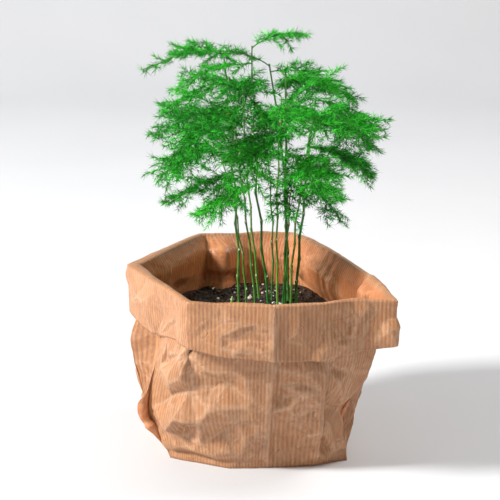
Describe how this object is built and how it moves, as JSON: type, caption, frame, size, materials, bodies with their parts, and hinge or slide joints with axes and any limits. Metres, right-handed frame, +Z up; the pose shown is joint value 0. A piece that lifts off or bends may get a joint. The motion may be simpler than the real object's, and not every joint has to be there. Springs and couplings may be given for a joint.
{
  "type": "potted asparagus fern",
  "caption": "Young asparagus fern: wiry stems with feathery sprays of needle leaves rise from soil in a square-bottomed kraft paper bag with its top turned out as a cuff.",
  "frame": {"origin": "middle of the bag's flat underside, where it rests", "axes": "+Z up, front of the bag towards -Y, +X to the right seen from the front"},
  "size_m": [0.1406, 0.1541, 0.2204],
  "materials": {
    "kraft_paper": "satin",
    "potting_soil": "matte",
    "perlite": "matte",
    "fern_stem": "satin",
    "fern_leaf": "satin",
    "fern_shoot": "satin"
  },
  "bodies": {
    "root": {"paper_bag": "kraft_paper", "potting_soil": "potting_soil", "perlite_1": "perlite", "perlite_2": "perlite", "perlite_3": "perlite", "perlite_4": "perlite", "perlite_5": "perlite", "perlite_6": "perlite", "young_shoot": "fern_shoot", "stem_01": "fern_stem", "stem_02": "fern_stem", "stem_03": "fern_stem", "stem_04": "fern_stem", "stem_05": "fern_stem", "stem_06": "fern_stem", "stem_07": "fern_stem", "stem_08": "fern_stem", "stem_09": "fern_stem", "stem_10": "fern_stem", "stem_11": "fern_stem", "stem_12": "fern_stem", "spray_01": "fern_leaf", "spray_02": "fern_leaf", "spray_03": "fern_leaf", "spray_04": "fern_leaf", "spray_05": "fern_leaf", "spray_06": "fern_leaf", "spray_07": "fern_leaf", "spray_08": "fern_leaf", "spray_09": "fern_leaf", "spray_10": "fern_leaf", "spray_11": "fern_leaf", "spray_12": "fern_leaf", "spray_13": "fern_leaf", "spray_14": "fern_leaf", "spray_15": "fern_leaf", "spray_16": "fern_leaf", "spray_17": "fern_leaf", "spray_18": "fern_leaf", "spray_19": "fern_leaf", "spray_20": "fern_leaf", "spray_21": "fern_leaf", "spray_22": "fern_leaf", "spray_23": "fern_leaf", "spray_24": "fern_leaf", "spray_25": "fern_leaf", "spray_26": "fern_leaf", "spray_27": "fern_leaf", "spray_28": "fern_leaf", "spray_29": "fern_leaf", "spray_30": "fern_leaf", "spray_31": "fern_leaf", "spray_32": "fern_leaf", "spray_33": "fern_leaf", "spray_34": "fern_leaf", "spray_35": "fern_leaf", "spray_36": "fern_leaf"}
  },
  "joints": []
}
